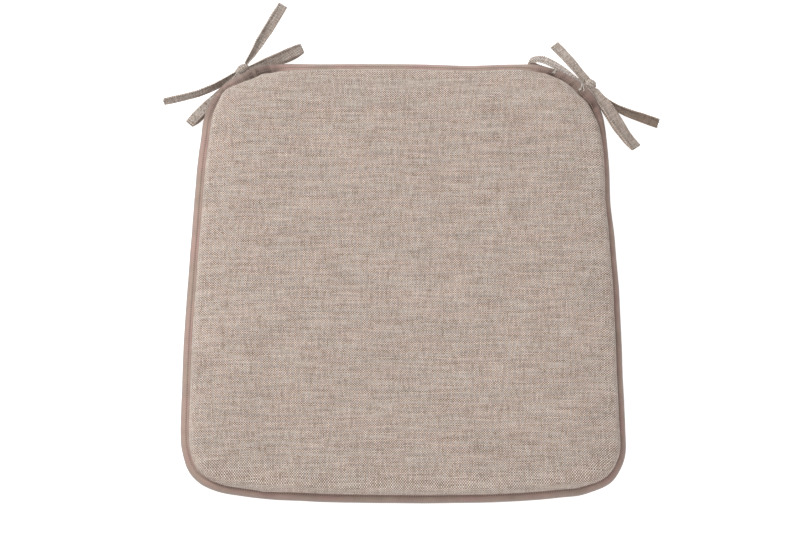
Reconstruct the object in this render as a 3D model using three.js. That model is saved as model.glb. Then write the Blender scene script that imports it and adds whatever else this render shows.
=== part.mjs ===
// A thin fabric seat cushion with bound edges and two bows of tie tape.
// Millimetres, +Z up, front edge towards -Y. The origin is the middle of the underside.
// Two cloth panels enclose a foam core. Their margins form a flange at mid height, and a folded
// tape binds it. Each back corner has two tapes, tied together in a bow.

import * as THREE from "three";

// Driving dimensions of the pad
const WIDTH = 380;
const DEPTH = 403;
const THICKNESS = 29;
const BACK_CORNER_RADIUS = 69.5;
const BACK_CORNER_X = 105.3;
const FRONT_CORNER_RADIUS = 48;
const FRONT_EDGE_RADIUS = 1600;
const SIDE_EDGE_RADIUS = 3600;

// Cloth, tape and thread
const CLOTH = 0.8;
const BINDING_WIDTH = 7.5;
const BINDING_HALF_HEIGHT = 2.2;
const BINDING_TAPE = 0.9;
const SEAM_INSET = 5.5;
const THREAD = 0.6;
const THREAD_HEIGHT = 0.35;
const TIE_THICKNESS = 1.2;
const GAP = 0.3;

// The flange droops outward from the seam to its outer edge
const FLANGE_EDGE_HEIGHT = 10.5;
const FLANGE_SLOPE = 0.36;

// Points along each stretch of the outline
const STEPS = { back: 4, backCorner: 8, side: 4, frontCorner: 7, front: 6 };

// Past this inset the rings shrink towards the middle instead of moving in evenly
const EVEN_INSET = 40;
const MIDDLE_INSET = 190;

const materials = {
  cloth: { color: 0xb9a89c, roughness: 0.95, metalness: 0 },
  underside: { color: 0xb3a296, roughness: 0.95, metalness: 0 },
  tape: { color: 0xb08f80, roughness: 0.6, metalness: 0 },
  foam: { color: 0xe9e2cf, roughness: 1, metalness: 0 },
  thread: { color: 0x9a7c6e, roughness: 0.7, metalness: 0 },
  tack: { color: 0xd9cfc2, roughness: 0.7, metalness: 0 },
  tie: { color: 0xaa9c92, roughness: 0.95, metalness: 0 },
};

const cushion = new THREE.Group();

function add(name, geometry, look, parent = cushion) {
  const mesh = new THREE.Mesh(geometry, new THREE.MeshStandardMaterial(materials[look]));
  mesh.name = name;
  parent.add(mesh);
  return mesh;
}

// ---- Outline -------------------------------------------------------------------------------

const halfDepth = DEPTH / 2;
const backCorner = new THREE.Vector2(BACK_CORNER_X, halfDepth - BACK_CORNER_RADIUS);
const frontCorner = findFrontCorner();
const frontArcCentre = new THREE.Vector2(0, FRONT_EDGE_RADIUS - halfDepth);
const sideArcCentre = findSideArcCentre();

// The front corner touches the long front arc from inside
function findFrontCorner() {
  const x = WIDTH / 2 - FRONT_CORNER_RADIUS;
  const reach = FRONT_EDGE_RADIUS - FRONT_CORNER_RADIUS;
  return new THREE.Vector2(x, FRONT_EDGE_RADIUS - halfDepth - Math.sqrt(reach * reach - x * x));
}

// The side arc touches both corner arcs from outside
function findSideArcCentre() {
  const toBack = SIDE_EDGE_RADIUS - BACK_CORNER_RADIUS;
  const toFront = SIDE_EDGE_RADIUS - FRONT_CORNER_RADIUS;
  const between = frontCorner.clone().sub(backCorner);
  const length = between.length();
  const along = (toBack * toBack - toFront * toFront + length * length) / (2 * length);
  const across = Math.sqrt(toBack * toBack - along * along);
  const unit = between.normalize();
  const inward = new THREE.Vector2(unit.y, -unit.x);
  return backCorner.clone().addScaledVector(unit, along).addScaledVector(inward, across);
}

function angleFrom(centre, point) {
  return Math.atan2(point.y - centre.y, point.x - centre.x);
}

function arc(centre, radius, from, to, steps) {
  return Array.from({ length: steps }, (_, i) => {
    const angle = from + ((to - from) * i) / steps;
    const normal = new THREE.Vector2(Math.cos(angle), Math.sin(angle));
    return { point: centre.clone().addScaledVector(normal, radius), normal };
  });
}

// Clockwise from the middle of the back edge to the middle of the front edge
function rightHalf() {
  const backToSide = angleFrom(sideArcCentre, backCorner);
  const sideToFront = angleFrom(sideArcCentre, frontCorner);
  const frontToEdge = angleFrom(frontArcCentre, frontCorner);
  const straight = Array.from({ length: STEPS.back / 2 }, (_, i) => ({
    point: new THREE.Vector2((BACK_CORNER_X * i * 2) / STEPS.back, halfDepth),
    normal: new THREE.Vector2(0, 1),
  }));
  return [
    ...straight,
    ...arc(backCorner, BACK_CORNER_RADIUS, Math.PI / 2, backToSide, STEPS.backCorner),
    ...arc(sideArcCentre, SIDE_EDGE_RADIUS, backToSide, sideToFront, STEPS.side),
    ...arc(frontCorner, FRONT_CORNER_RADIUS, sideToFront, frontToEdge, STEPS.frontCorner),
    ...arc(frontArcCentre, FRONT_EDGE_RADIUS, frontToEdge, -Math.PI / 2, STEPS.front / 2),
    { point: new THREE.Vector2(0, -halfDepth), normal: new THREE.Vector2(0, -1) },
  ];
}

function wholeOutline() {
  const right = rightHalf();
  const left = right.slice(1, -1).reverse().map(({ point, normal }) => ({
    point: new THREE.Vector2(-point.x, point.y),
    normal: new THREE.Vector2(-normal.x, normal.y),
  }));
  return [...right, ...left].reverse();
}

const outline = wholeOutline();

// The outline moved in by inset, at height z, counterclockwise seen from above
function ring([inset, z]) {
  const even = Math.min(inset, EVEN_INSET);
  const scale = (MIDDLE_INSET - Math.max(inset, EVEN_INSET)) / (MIDDLE_INSET - EVEN_INSET);
  return outline.map(({ point, normal }) => {
    const moved = point.clone().addScaledVector(normal, -even).multiplyScalar(scale);
    return new THREE.Vector3(moved.x, moved.y, z);
  });
}

// ---- Solids from rings ---------------------------------------------------------------------

// Joins equal rings of points into one closed solid. An open run of rings gets a cap at each end.
function loft(rings, closed = false) {
  const size = rings[0].length;
  const points = rings.flat();
  const faces = [];
  const spans = closed ? rings.length : rings.length - 1;
  for (let i = 0; i < spans; i += 1) {
    const here = i * size;
    const next = ((i + 1) % rings.length) * size;
    for (let j = 0; j < size; j += 1) {
      const k = (j + 1) % size;
      faces.push([here + j, here + k, next + k], [here + j, next + k, next + j]);
    }
  }
  if (!closed) {
    addCap(points, faces, 0, size, true);
    addCap(points, faces, (rings.length - 1) * size, size, false);
  }
  const geometry = new THREE.BufferGeometry().setFromPoints(points);
  geometry.setIndex(faces.flat());
  geometry.computeVertexNormals();
  return geometry;
}

function addCap(points, faces, start, size, first) {
  const middle = new THREE.Vector3();
  for (let j = 0; j < size; j += 1) {
    middle.addScaledVector(points[start + j], 1 / size);
  }
  const hub = points.push(middle) - 1;
  for (let j = 0; j < size; j += 1) {
    const k = (j + 1) % size;
    faces.push(first ? [hub, start + k, start + j] : [hub, start + j, start + k]);
  }
}

// A profile is a list of [inset, height], so a solid's half section is read from its profile
function solidOfProfile(profile, closed = false) {
  return loft(profile.map(ring), closed);
}

// The profile moved sideways by distance, to the left of its direction
function offsetProfile(profile, distance) {
  return profile.map(([x, z], i) => {
    const [ax, az] = profile[Math.max(i - 1, 0)];
    const [bx, bz] = profile[Math.min(i + 1, profile.length - 1)];
    const length = Math.hypot(bx - ax, bz - az);
    return [x - (distance * (bz - az)) / length, z + (distance * (bx - ax)) / length];
  });
}

function flangeHeight(inset, above = 0) {
  return FLANGE_EDGE_HEIGHT + FLANGE_SLOPE * inset + above;
}

// ---- Panels, foam and binding --------------------------------------------------------------

const MARGIN_END = 1.8;
const WALL_INSET = BINDING_WIDTH + 0.8;

// The crowned face, from the middle out and down to the seam
const topFace = [
  [MIDDLE_INSET - 2, THICKNESS],
  [125, THICKNESS - 0.4],
  [75, THICKNESS - 1.4],
  [40, THICKNESS - 3],
  [22, THICKNESS - 4.8],
  [13, THICKNESS - 7.2],
  [9.6, THICKNESS - 10.4],
  [WALL_INSET, flangeHeight(WALL_INSET, 2)],
];

// The face it rests on, flat and then curving up to the seam
const underFace = [
  [MIDDLE_INSET - 2, 0],
  [75, 0],
  [28, 0],
  [19, 1.2],
  [12.5, 4.4],
  [9.4, 8.4],
  [WALL_INSET, flangeHeight(WALL_INSET, -2)],
];

// A panel is its face, its margin in the flange, and the same again on the inside
function panel(face, side) {
  const near = side * (GAP / 2);
  const far = side * (GAP / 2 + CLOTH);
  const inner = offsetProfile(face, side * CLOTH);
  const last = inner.length - 1;
  inner[last] = [WALL_INSET + CLOTH, flangeHeight(WALL_INSET + CLOTH, side * 2)];
  const section = [
    ...face,
    [WALL_INSET - GAP, flangeHeight(WALL_INSET - GAP, far)],
    [MARGIN_END, flangeHeight(MARGIN_END, far)],
    [MARGIN_END, flangeHeight(MARGIN_END, near)],
    [WALL_INSET + CLOTH, flangeHeight(WALL_INSET + CLOTH, near)],
    ...inner.reverse(),
  ];
  return solidOfProfile(side > 0 ? section.reverse() : section);
}

function foamCore() {
  const clear = CLOTH + GAP;
  const under = offsetProfile(underFace.slice(0, -1), -clear);
  const top = offsetProfile(topFace.slice(0, -1), clear);
  return solidOfProfile([...under, ...top.reverse()]);
}

// One tape folded round the flange: a C in section, open towards the pad
function edgeBinding() {
  const outside = BINDING_HALF_HEIGHT;
  const inside = BINDING_HALF_HEIGHT - BINDING_TAPE;
  const section = [
    [BINDING_WIDTH, -outside],
    [2, -outside],
    [0.5, -outside * 0.7],
    [0, 0],
    [0.5, outside * 0.7],
    [2, outside],
    [BINDING_WIDTH, outside],
    [BINDING_WIDTH, inside],
    [MARGIN_END - 0.4, inside],
    [MARGIN_END - 0.4, -inside],
    [BINDING_WIDTH, -inside],
  ];
  return solidOfProfile(section.map(([inset, above]) => [inset, flangeHeight(inset, above)]), true);
}

// The sewing thread that lies along one face of the binding
function seamThread(side) {
  const near = side * (BINDING_HALF_HEIGHT + GAP);
  const far = side * (BINDING_HALF_HEIGHT + GAP + THREAD_HEIGHT);
  const section = [
    [SEAM_INSET, near],
    [SEAM_INSET + THREAD, near],
    [SEAM_INSET + THREAD, far],
    [SEAM_INSET, far],
  ];
  const placed = section.map(([inset, above]) => [inset, flangeHeight(inset, above)]);
  return solidOfProfile(side > 0 ? placed.reverse() : placed, true);
}

// ---- Ties ----------------------------------------------------------------------------------

// Where each bow's two tapes are sewn in, as angles round the back corner
const TACK_ANGLES = { back: 66.4, side: 42.6 };
const TACK_SIZE = [2.8, 2, 0.4];
const TACK_INSET = 3.8;

// Knots: middle, long axis as an angle seen from above, and half sizes
const KNOT_RADII = [5.8, 4, 4];
const knots = {
  left: { middle: [-138.9, 198, 5.8], angle: 25 },
  right: { middle: [162.5, 184.5, 5.8], angle: -34 },
};

// Each strip of tape is a list of [x, y, z, width, roll]. Roll tilts the tape about its length,
// and lifts its left edge. A loop runs out to its tip and back underneath.
const strips = {
  left_tail_back: [
    [-135.8, 203.4, 6.4, 2.6, 20],
    [-131.5, 211, 7.4, 4.6, 20],
    [-125, 221.8, 8, 7, 16],
    [-117.6, 234.2, 6.8, 7.6, 10],
    [-110.6, 246.4, 4.8, 7.6, 6],
    [-104.1, 258.2, 3.4, 7.6, 4],
  ],
  left_tail_side: [
    [-145.1, 195.4, 6.2, 3, -50],
    [-152, 191.4, 6.8, 5, -50],
    [-163, 185.6, 7, 7.6, -50],
    [-175.5, 179.6, 6.2, 8.4, -48],
    [-190, 173.8, 5.2, 8.4, -44],
    [-205.9, 168.7, 4.6, 8.2, -40],
  ],
  left_loop_back: [
    [-132.7, 200.5, 6.6, 3, 24],
    [-125, 203.8, 7.4, 5.6, 26],
    [-113, 208.6, 8, 8.2, 26],
    [-100, 213.8, 7.8, 8.8, 22],
    [-91, 217.4, 6.6, 8.8, 16],
    [-87.6, 218.7, 4.8, 8.8, 14],
    [-91, 217, 3.2, 8.8, 12],
    [-100, 213.2, 2.8, 8.8, 10],
    [-113, 208, 3, 8, 10],
    [-125, 203.4, 3.6, 5.6, 14],
    [-132.7, 200.4, 4.4, 3, 20],
  ],
  left_loop_side: [
    [-143.3, 193.2, 5.6, 3, 0],
    [-151, 184, 5.6, 5.6, 0],
    [-160, 173.6, 5.8, 8, 0],
    [-170, 163.4, 6.2, 8.4, 0],
    [-179, 153.8, 6.2, 8.4, 0],
    [-184.2, 148.1, 4.2, 8.4, 0],
    [-179.4, 152.8, 2.1, 8.4, 0],
    [-170, 162.6, 1.8, 8.4, 0],
    [-160, 172.8, 2.2, 8, 0],
    [-151, 183.4, 2.9, 5.6, 0],
    [-143.3, 193.2, 3.8, 3, 0],
  ],
  right_tail_back: [
    [158.3, 189.7, 5.8, 4.6, 0],
    [153, 196.7, 7.4, 6.8, 0],
    [146, 205.6, 8.4, 8.6, 4],
    [139.2, 213.3, 7.4, 8.8, 4],
    [131.9, 221.4, 5.6, 8.8, 4],
  ],
  right_tail_side: [
    [167.8, 180.2, 3, 3, 0],
    [174, 172.4, 2.6, 5, 0],
    [183.5, 163.6, 2.4, 7, 0],
    [196, 157.4, 3, 7.6, 0],
    [209, 152.4, 4, 7.8, 0],
    [220.8, 147.9, 5, 7.8, 0],
  ],
  right_loop_back: [
    [156, 186.3, 5.2, 3.4, 0],
    [149.4, 190.8, 5.7, 5.2, -10],
    [138, 198.9, 6.6, 6.4, -16],
    [126, 206, 8, 6.6, -16],
    [117, 208.6, 8.2, 6.6, -14],
    [110, 206, 5.4, 6.4, -10],
    [115, 202.4, 3, 6.2, -6],
    [126, 198.6, 2.3, 6.4, -4],
    [138, 193.8, 2.4, 6.4, 0],
    [149.4, 188.2, 3, 5.2, 0],
    [156, 186.2, 3.9, 3.4, 0],
  ],
  right_loop_side: [
    [165.7, 179, 7.8, 4, 0],
    [171, 171.4, 9, 7, 0],
    [178.6, 160.6, 10, 9.6, 0],
    [187.2, 147.9, 9.6, 10.4, 0],
    [196, 134.8, 8.2, 10, 0],
    [201.9, 126.2, 6.2, 9.8, 0],
    [195.6, 134.6, 4.3, 10, 0],
    [186.8, 147.7, 4.8, 10.2, 0],
    [178.2, 160.4, 5.8, 8.6, 0],
    [170.8, 171.4, 6.3, 6, 0],
    [165.7, 179, 6.2, 4, 0],
  ],
  left_lead_back: [
    [-131.6, 192.3, 8.1, 6, 0],
    [-135.6, 195.6, 8.1, 3.4, 0],
  ],
  left_lead_side: [
    [-153.7, 176.5, 8.1, 6, 0],
    [-147.6, 185.2, 8.1, 5, 0],
    [-141.7, 193.8, 8.1, 3.4, 0],
  ],
  right_lead_back: [
    [131.6, 192.3, 8.1, 6, 0],
    [144.4, 189.2, 8.1, 5, 0],
    [157.2, 185.9, 8.1, 3.2, 0],
  ],
  right_lead_side: [
    [153.7, 176.5, 8.1, 6, 0],
    [159.4, 181.7, 8.1, 3.2, 0],
  ],
};

const STEPS_PER_POINT = 3;
const UP = new THREE.Vector3(0, 0, 1);

// A strip's tape follows a smooth curve through its points, with a rectangular section
function tape(points, isLoop) {
  const curve = new THREE.CatmullRomCurve3(points.map(([x, y, z]) => new THREE.Vector3(x, y, z)));
  const last = points.length - 1;
  const steps = last * STEPS_PER_POINT;
  const toTip = curve.getPoint(isLoop ? 0.5 : 1).sub(curve.getPoint(0));
  const sections = Array.from({ length: steps + 1 }, (_, i) => {
    const t = i / steps;
    const tangent = curve.getTangent(t);
    const along = (isLoop ? toTip : tangent).clone().setZ(0).normalize();
    const [width, roll] = [3, 4].map((column) => valueAlong(points, column, t * last));
    const side = UP.clone().cross(along).applyAxisAngle(along, THREE.MathUtils.degToRad(roll));
    const face = tangent.clone().cross(side).normalize();
    return section(curve.getPoint(t), side.multiplyScalar(width / 2), face);
  });
  return loft(sections);
}

function valueAlong(points, column, place) {
  const i = Math.min(Math.floor(place), points.length - 2);
  return THREE.MathUtils.lerp(points[i][column], points[i + 1][column], place - i);
}

function section(middle, side, face) {
  const corners = [[1, 1], [-1, 1], [-1, -1], [1, -1]];
  return corners.map(([across, up]) =>
    middle.clone().addScaledVector(side, across).addScaledVector(face, (up * TIE_THICKNESS) / 2)
  );
}

function addKnot(side) {
  const { middle, angle } = knots[side];
  const geometry = new THREE.SphereGeometry(1, 14, 10).scale(...KNOT_RADII);
  const knot = add(`${side}_knot`, geometry, "tie");
  knot.position.set(...middle);
  knot.rotation.z = THREE.MathUtils.degToRad(angle);
}

// A tack is the short row of stitches that holds a tie's sewn end in the flange
function addTack(side, place) {
  const turn = new THREE.Group();
  const mirror = side === "left" ? -1 : 1;
  const angle = THREE.MathUtils.degToRad(TACK_ANGLES[place]);
  turn.position.set(mirror * backCorner.x, backCorner.y, 0);
  turn.rotation.z = mirror > 0 ? angle : Math.PI - angle;
  cushion.add(turn);
  const tack = add(`${side}_tack_${place}`, new THREE.BoxGeometry(...TACK_SIZE), "tack", turn);
  const above = BINDING_HALF_HEIGHT + GAP + TACK_SIZE[2];
  tack.position.set(BACK_CORNER_RADIUS - TACK_INSET, 0, flangeHeight(TACK_INSET, above));
  tack.rotation.y = Math.atan(FLANGE_SLOPE);
}

// ---- Assembly ------------------------------------------------------------------------------

add("foam_core", foamCore(), "foam");
add("top_panel", panel(topFace, 1), "cloth");
add("bottom_panel", panel(underFace, -1), "underside");
add("edge_binding", edgeBinding(), "tape");
add("seam_thread_top", seamThread(1), "thread");
add("seam_thread_bottom", seamThread(-1), "thread");

for (const side of ["left", "right"]) {
  addKnot(side);
  for (const place of ["back", "side"]) {
    addTack(side, place);
  }
}

for (const [name, points] of Object.entries(strips)) {
  add(name, tape(points, name.includes("loop")), "tie");
}

export default cushion;
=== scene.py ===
# A thin tie-on seat pad: two cloth panels over foam, a bound edge, and two bows of tie tape.
# Metres, +Z up, front edge towards -Y. The origin is the middle of the underside.

import math
import random

import bpy
import numpy as np
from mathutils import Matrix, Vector, noise


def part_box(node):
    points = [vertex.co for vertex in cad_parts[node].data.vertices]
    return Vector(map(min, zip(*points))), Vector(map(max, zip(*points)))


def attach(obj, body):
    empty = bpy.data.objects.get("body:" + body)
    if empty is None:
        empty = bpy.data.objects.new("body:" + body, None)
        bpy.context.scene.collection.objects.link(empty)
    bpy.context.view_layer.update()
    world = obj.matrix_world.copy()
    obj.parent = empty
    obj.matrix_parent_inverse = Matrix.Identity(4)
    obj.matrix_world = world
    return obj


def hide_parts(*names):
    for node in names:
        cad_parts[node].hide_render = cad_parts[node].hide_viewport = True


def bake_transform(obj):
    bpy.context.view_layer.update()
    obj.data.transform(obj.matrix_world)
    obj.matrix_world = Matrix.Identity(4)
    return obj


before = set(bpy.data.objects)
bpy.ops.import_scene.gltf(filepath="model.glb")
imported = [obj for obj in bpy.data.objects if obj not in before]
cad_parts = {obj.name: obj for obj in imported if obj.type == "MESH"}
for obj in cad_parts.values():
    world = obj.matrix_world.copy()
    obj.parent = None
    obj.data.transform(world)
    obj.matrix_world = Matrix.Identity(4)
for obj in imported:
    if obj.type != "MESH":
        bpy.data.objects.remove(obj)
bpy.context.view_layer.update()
scene = bpy.context.scene
MM = 0.001


# ---- Camera

def aimed(name, data, place, away):
    """A camera or light at a place, turned so that it looks back along away."""
    made = bpy.data.objects.new(name, data)
    made.location = place
    made.rotation_mode = "QUATERNION"
    made.rotation_quaternion = Vector(away).to_track_quat("Z", "Y")
    scene.collection.objects.link(made)
    return made


def add_camera():
    """Looks at the pad from in front and well above, through a long lens."""
    elevation = math.radians(69.5)
    distance = 6.9
    target = Vector((-0.0022, 0.0137, 0.012))
    away = Vector((0, -math.cos(elevation), math.sin(elevation)))
    data = bpy.data.cameras.new("camera")
    data.lens = 361.9
    data.sensor_width = 36
    data.clip_start = 0.1
    data.clip_end = 60
    scene.camera = aimed("camera", data, target + away * distance, away)


add_camera()


# ---- Shader nodes

class Shader:
    """A material's node tree, with a short call for each kind of node that it uses."""

    def __init__(self, name, roughness):
        self.material = bpy.data.materials.new(name)
        self.material.use_nodes = True
        self.tree = self.material.node_tree
        self.tree.nodes.clear()
        self.surface = self.node("ShaderNodeBsdfPrincipled")
        self.put("Roughness", roughness)
        output = self.node("ShaderNodeOutputMaterial")
        self.tree.links.new(self.surface.outputs[0], output.inputs["Surface"])

    def node(self, kind, **settings):
        made = self.tree.nodes.new(kind)
        for name, value in settings.items():
            setattr(made, name, value)
        return made

    def feed(self, socket, value):
        """Links a socket, or sets a number, vector or colour."""
        if isinstance(value, bpy.types.NodeSocket):
            self.tree.links.new(value, socket)
        else:
            socket.default_value = value

    def math(self, operation, *values):
        made = self.node("ShaderNodeMath", operation=operation)
        for socket, value in zip(made.inputs, values):
            self.feed(socket, value)
        return made.outputs[0]

    def times(self, first, second):
        return self.math("MULTIPLY", first, second)

    def times_plus(self, first, second, added):
        return self.math("MULTIPLY_ADD", first, second, added)

    def mix(self, amount, first, second, blend="MIX"):
        made = self.node("ShaderNodeMix", data_type="RGBA", blend_type=blend)
        self.feed(made.inputs[0], amount)
        self.feed(made.inputs[6], first)
        self.feed(made.inputs[7], second)
        return made.outputs[2]

    def tinted(self, colour, tint):
        return self.mix(1.0, colour, tint, "MULTIPLY")

    def vector(self, x, y, z=0.0):
        made = self.node("ShaderNodeCombineXYZ")
        for socket, value in zip(made.inputs, (x, y, z)):
            self.feed(socket, value)
        return made.outputs[0]

    def grey(self, value):
        return self.vector(value, value, value)

    def noise(self, place, scale=1.0, detail=0.0):
        """Smooth noise at a place, which is a vector's socket or its coordinates."""
        vector = self.vector(*place) if isinstance(place, tuple) else place
        made = self.node("ShaderNodeTexNoise")
        self.feed(made.inputs["Vector"], vector)
        made.inputs["Scale"].default_value = scale
        made.inputs["Detail"].default_value = detail
        return made.outputs[0]

    def stretch(self, value, low, high, to_low=0.0, to_high=1.0):
        made = self.node("ShaderNodeMapRange", interpolation_type="SMOOTHSTEP")
        for socket, number in zip(made.inputs, (value, low, high, to_low, to_high)):
            self.feed(socket, number)
        return made.outputs[0]

    def ramp(self, value, stops):
        made = self.node("ShaderNodeValToRGB")
        self.feed(made.inputs[0], value)
        elements = made.color_ramp.elements
        while len(elements) < len(stops):
            elements.new(0.5)
        for element, (place, colour) in zip(elements, stops):
            element.position = place
            element.color = (*colour, 1)
        return made.outputs[0]

    def cloth(self):
        """The place on the flat cloth, in metres, and a share of wear and painted light, as the
        mesh stores them.
        """
        found = self.node("ShaderNodeAttribute", attribute_name="cloth")
        parts = self.node("ShaderNodeSeparateXYZ")
        self.tree.links.new(found.outputs["Vector"], parts.inputs[0])
        return parts.outputs

    def bump(self, height, distance, strength=1.0):
        made = self.node("ShaderNodeBump")
        made.inputs["Strength"].default_value = strength
        made.inputs["Distance"].default_value = distance
        self.feed(made.inputs["Height"], height)
        self.put("Normal", made.outputs[0])

    def put(self, socket, value):
        """Feeds one of the surface's own sockets."""
        self.feed(self.surface.inputs[socket], value)

    def sheen(self, weight, roughness, tint):
        self.put("Sheen Weight", weight)
        self.put("Sheen Roughness", roughness)
        self.put("Sheen Tint", (*tint, 1))


def scaled(colour, share):
    return tuple(channel * share for channel in colour)


def melange(reds, hue):
    """Yarn colours of those display reds, with green and blue a step below: less for pale yarn."""
    colours = []
    for red in reds:
        share = min(1.15, 2.2 - 0.0068 * red)
        shown = (red, red - hue[0] * share, red - hue[1] * share)
        colours.append(tuple(((value / 255 + 0.055) / 1.055) ** 2.4 for value in shown))
    return colours


# ---- Materials

THREAD_PITCH = 1.05 * MM
# How far the threads wander, in threads, and how far apart they read the noise
THREAD_DRIFT = 0.6
THREAD_STEP = 3.71
WARP_STOPS = (0.28, 0.45, 0.62)
WEFT_STOPS = (0.32, 0.47, 0.64)
# Pale worn cloth, also used as painted highlight along the panel's rim
WORN_AND_PAINTED_HIGHLIGHT_CLOTH = (0.72, 0.58, 0.5, 1)
STITCH_INSET = 4.8 * MM
STITCH_PITCH = 2.0 * MM
RIB_PITCH = 0.42 * MM
TWIST_PITCH = 0.45 * MM


def thread_tone(shader, number, along, seed, slow, fast, slow_share):
    """Noise along each thread, slow and fast, that differs from one thread to the next."""
    apart = shader.times(number, THREAD_STEP)
    slow_part, fast_part = [
        shader.noise((apart, shader.times(along, rate), place), detail=1)
        for rate, place in ((slow, seed), (fast, seed + 7))
    ]
    slow_part = shader.times(slow_part, slow_share)
    return shader.times_plus(fast_part, 1 - slow_share, slow_part)


def weave_height(shader, u, v, warp_on_top):
    """Each thread arches across itself, and dips where it passes under another."""
    arches = []
    for place in (u, v):
        centred = shader.math("SUBTRACT", shader.math("FRACT", place), 0.5)
        arches.append(shader.math("COSINE", shader.times(centred, math.pi)))
    warp, weft = [
        shader.vector(shader.times(across, shader.times_plus(along, 0.45, 0.55)), 0)
        for across, along in (arches, arches[::-1])
    ]
    parts = shader.node("ShaderNodeSeparateColor")
    shader.feed(parts.inputs[0], shader.mix(warp_on_top, weft, warp))
    return parts.outputs[0]


def woven_cloth(name, warp_reds, weft_reds, hue, pitch=THREAD_PITCH):
    """A melange plain weave: paler warp along y, darker weft along x, each thread uneven."""
    shader = Shader(name, roughness=0.9)
    x, y, wear_and_painted_light = shader.cloth()
    drift = shader.noise((x, y), scale=90)
    u = shader.times_plus(x, 1 / pitch, shader.times(drift, THREAD_DRIFT))
    v = shader.times_plus(y, 1 / pitch, shader.times(drift, -THREAD_DRIFT))
    warp_number, weft_number = shader.math("FLOOR", u), shader.math("FLOOR", v)
    both = shader.math("ADD", warp_number, weft_number)
    warp_on_top = shader.math("FLOORED_MODULO", both, 2.0)
    warp_tone = thread_tone(shader, warp_number, v, 3, slow=0.09, fast=0.6, slow_share=0.5)
    weft_tone = thread_tone(shader, weft_number, u, 31, slow=0.035, fast=0.45, slow_share=0.78)
    warp = shader.ramp(warp_tone, list(zip(WARP_STOPS, melange(warp_reds, hue))))
    weft = shader.ramp(weft_tone, list(zip(WEFT_STOPS, melange(weft_reds, hue))))
    height = weave_height(shader, u, v, warp_on_top)
    # Painted shade in the hollows between threads, and a faint painted highlight on their raised
    # crossings
    painted_hollow_shade = shader.stretch(height, 0.0, 0.75, 0.5, 1.06)
    clouds = shader.noise((x, y), scale=28, detail=2)
    cloud = shader.stretch(clouds, 0.3, 0.7, 0.965, 1.035)
    blush = shader.noise((shader.times(x, 0.5), y, 5.0), scale=70)
    hues = shader.ramp(blush, [(0.35, (1.01, 0.988, 0.985)), (0.65, (0.99, 1.006, 1.008))])
    colour = shader.mix(warp_on_top, weft, warp)
    for tint in (shader.grey(painted_hollow_shade), shader.grey(cloud), hues):
        colour = shader.tinted(colour, tint)
    # Paler by the stored share: wear on the tie tapes' rounded edges, and wear with painted
    # highlight along the panel's rim
    shader.put("Base Color", shader.mix(shader.times(wear_and_painted_light, 0.24), colour, WORN_AND_PAINTED_HIGHLIGHT_CLOTH))
    shader.bump(height, 0.3 * MM, 0.85)
    shader.sheen(0.12, 0.5, (0.9, 0.85, 0.8))
    return shader.material


def tie_weave(name, share):
    """The ties' weave, with its reds scaled by share: a share above 1 gives painted light, and one
    below 1 gives painted shade.
    """
    warp_reds = [red * share for red in (158, 209, 238)]
    weft_reds = [red * share for red in (94, 140, 184)]
    return woven_cloth(name, warp_reds, weft_reds, (16.8, 30.0), 0.95 * MM)


def needle_holes(shader, along, inset):
    """1 where a stitch goes into the tape, between one stitch and the next."""
    phase = shader.math("COSINE", shader.times(along, 2 * math.pi / STITCH_PITCH))
    aside = shader.math("ABSOLUTE", shader.math("SUBTRACT", inset, STITCH_INSET))
    beside = shader.stretch(aside, 0.35 * MM, 0.95 * MM, 1.0, 0.0)
    return shader.times(shader.stretch(phase, 0.1, 0.9), beside)


def satin_tape(name, base):
    """A smooth folded tape with fine slanted ribs, greyer along its outer fold."""
    shader = Shader(name, roughness=0.58)
    along, inset, wear_and_painted_light = shader.cloth()
    slant = shader.math("ADD", along, inset)
    rib = shader.math("SINE", shader.times(slant, 2 * math.pi / RIB_PITCH))
    blotch = shader.noise((along, inset), scale=70, detail=3)
    fleck = shader.noise((along, inset), scale=900, detail=2)
    shades = [(0.3, scaled(base, 0.86)), (0.5, base), (0.7, scaled(base, 1.1))]
    hue = shader.noise((along, 0.0, 2.0), scale=24, detail=1)
    tint = shader.ramp(hue, [(0.4, (1.03, 0.955, 0.985)), (0.6, (0.965, 1.01, 0.975))])
    colour = shader.tinted(shader.ramp(blotch, shades), tint)
    grey = (base[0] * 0.84, base[1] * 0.98, base[2] * 1.04, 1)
    colour = shader.mix(shader.stretch(inset, 0.0, 2.2 * MM, 0.85, 0.0), colour, grey)
    # Painted shade in the tape's gathers at the corners, by the stored share and in uneven pleats
    pleat = shader.noise((along, shader.times(inset, 0.3), 8.0), scale=260)
    gathered = shader.times(wear_and_painted_light, shader.stretch(pleat, 0.3, 0.7, 0.7, 1.15))
    # The colour of the painted shade, in the gathers and in the needle holes
    dark = (base[0] * 0.17, base[1] * 0.13, base[2] * 0.1, 1)
    colour = shader.mix(gathered, colour, dark)
    # Painted shade in the needle holes between stitches
    hole = needle_holes(shader, along, inset)
    colour = shader.mix(shader.times(hole, 0.6), colour, dark)
    level = shader.stretch(fleck, 0.3, 0.7, 0.93, 1.06)
    shader.put("Base Color", shader.tinted(colour, shader.grey(level)))
    relief = shader.times_plus(fleck, 1.2, shader.times(rib, 0.35))
    shader.bump(shader.times_plus(hole, -2.5, relief), 0.09 * MM, 0.7)
    shader.sheen(0.35, 0.35, (0.95, 0.86, 0.82))
    return shader.material


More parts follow.
